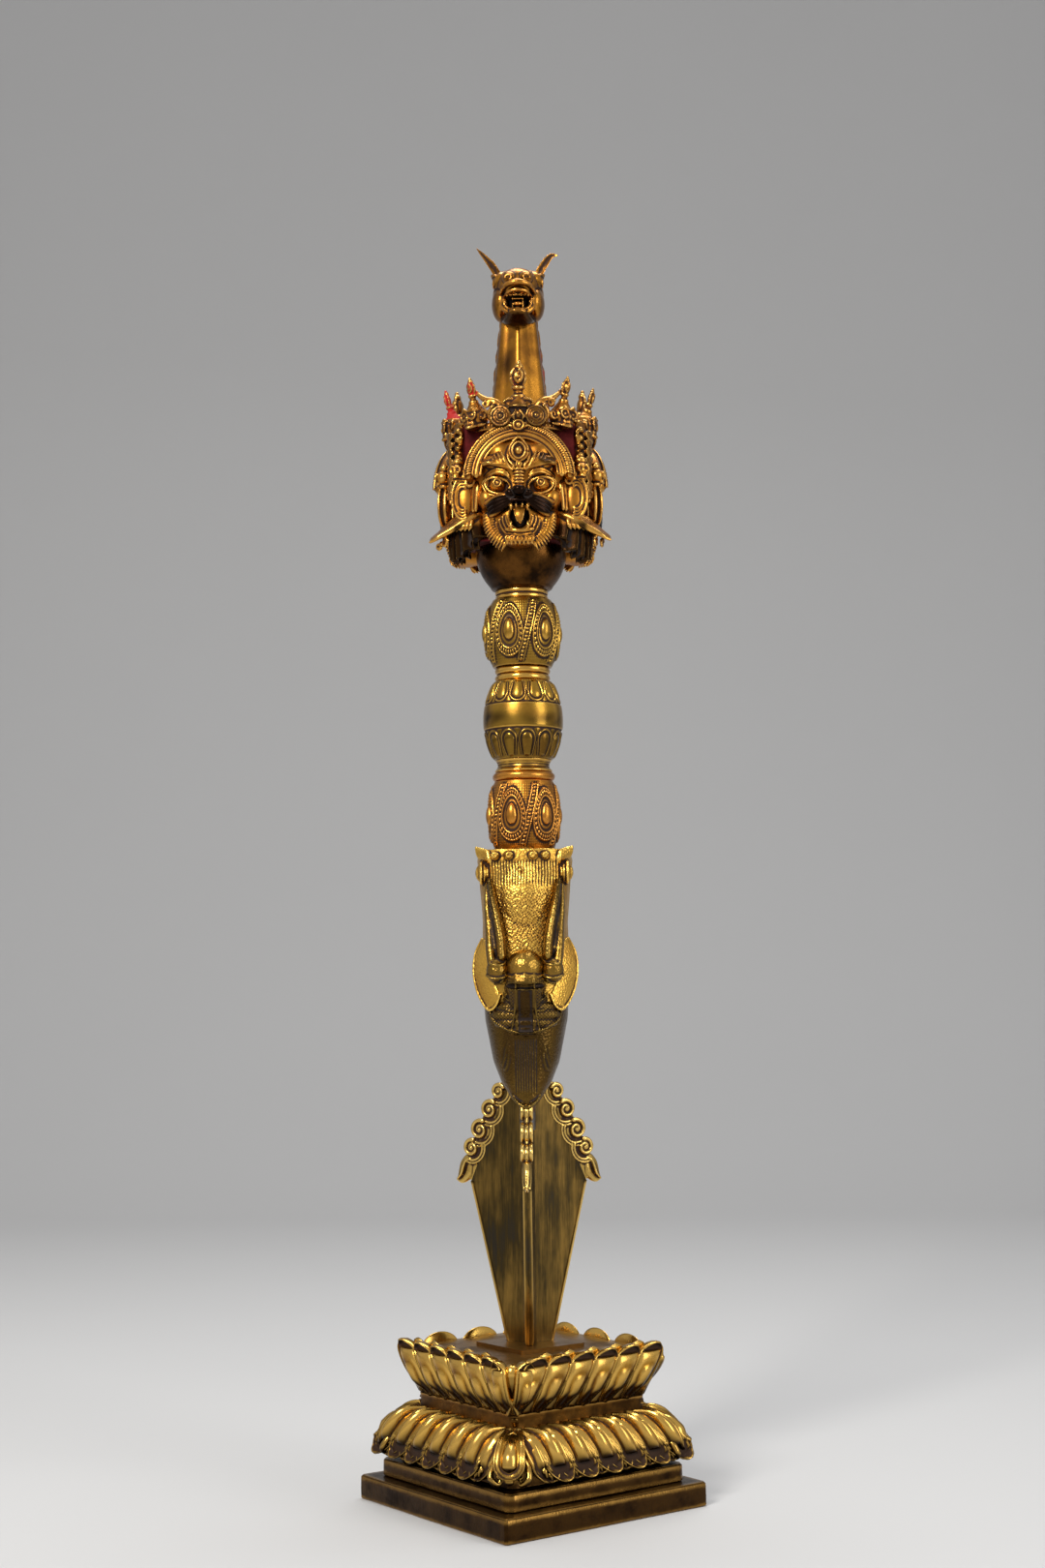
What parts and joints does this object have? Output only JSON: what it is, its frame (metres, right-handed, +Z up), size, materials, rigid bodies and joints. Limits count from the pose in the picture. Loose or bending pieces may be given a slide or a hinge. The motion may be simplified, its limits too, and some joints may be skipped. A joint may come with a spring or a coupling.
{
  "type": "phurba",
  "caption": "Gilt ritual dagger with a three-faced head, horse finial, knot grip, makara and three-finned blade, standing point down in a square lotus stand.",
  "frame": {"origin": "under the middle of the plinth, on the surface it stands on", "axes": "+Z up along the dagger, -Y towards the front face; the stand's front corner is 6 degrees to the left of it"},
  "size_m": [0.1676, 0.1676, 0.6228],
  "materials": {
    "stand_gilt": "worn gilding over dark patina",
    "lotus_gilt": "polished gilding, dark in the recesses",
    "blade_metal": "dark, streaked, with worn gilding on the rims",
    "crest_gilt": "gilding, dark in the recesses",
    "makara_gilt": "stippled gilding",
    "copper_gilt": "gilding worn to a copper tone",
    "grip_gilt": "polished gilding",
    "dark_gilt": "dark worn gilding",
    "red_pigment": "matt red pigment over metal",
    "face_gilt": "polished gilding with blackened hair",
    "crown_gilt": "dark gilding with red pigment on the finials",
    "horse_gilt": "gilding with red pigment on the mane",
    "plain_iron": "plain forged iron"
  },
  "bodies": {
    "stand": {"plinth": "stand_gilt", "step_tier": "stand_gilt", "lower_lotus": "lotus_gilt", "waist": "stand_gilt", "upper_lotus": "lotus_gilt", "deck_plate": "stand_gilt", "blade_socket": "stand_gilt", "stand_washer": "plain_iron", "stand_nut": "plain_iron"},
    "dagger": {"blade": "blade_metal", "crest_front": "crest_gilt", "crest_right": "crest_gilt", "crest_left": "crest_gilt", "core_rod": "plain_iron", "makara_head": "makara_gilt", "makara_trunk": "makara_gilt", "makara_horns": "makara_gilt", "makara_cheeks": "makara_gilt", "lower_knot_bead": "copper_gilt", "torus_ring": "grip_gilt", "lower_collar": "grip_gilt", "lotus_bead": "grip_gilt", "double_ring": "grip_gilt", "upper_knot_bead": "grip_gilt", "upper_ring": "grip_gilt", "neck_cup": "dark_gilt", "head_core": "red_pigment", "face_front": "face_gilt", "face_right": "face_gilt", "face_left": "face_gilt", "diadem_front": "face_gilt", "diadem_right": "face_gilt", "diadem_left": "face_gilt", "ears_front": "face_gilt", "ears_right": "face_gilt", "ears_left": "face_gilt", "flare_right": "face_gilt", "flare_back": "face_gilt", "flare_left": "face_gilt", "crown_front": "crown_gilt", "crown_right": "crown_gilt", "crown_left": "crown_gilt", "horse_neck": "horse_gilt", "horse_head": "horse_gilt", "horse_ears": "horse_gilt", "head_washer": "plain_iron", "head_nut": "plain_iron"}
  },
  "joints": [
    {"name": "dagger_lift", "type": "slide", "parent": "stand", "child": "dagger", "axis": [0, 0, 1], "range_m": [0, 0.06]}
  ]
}
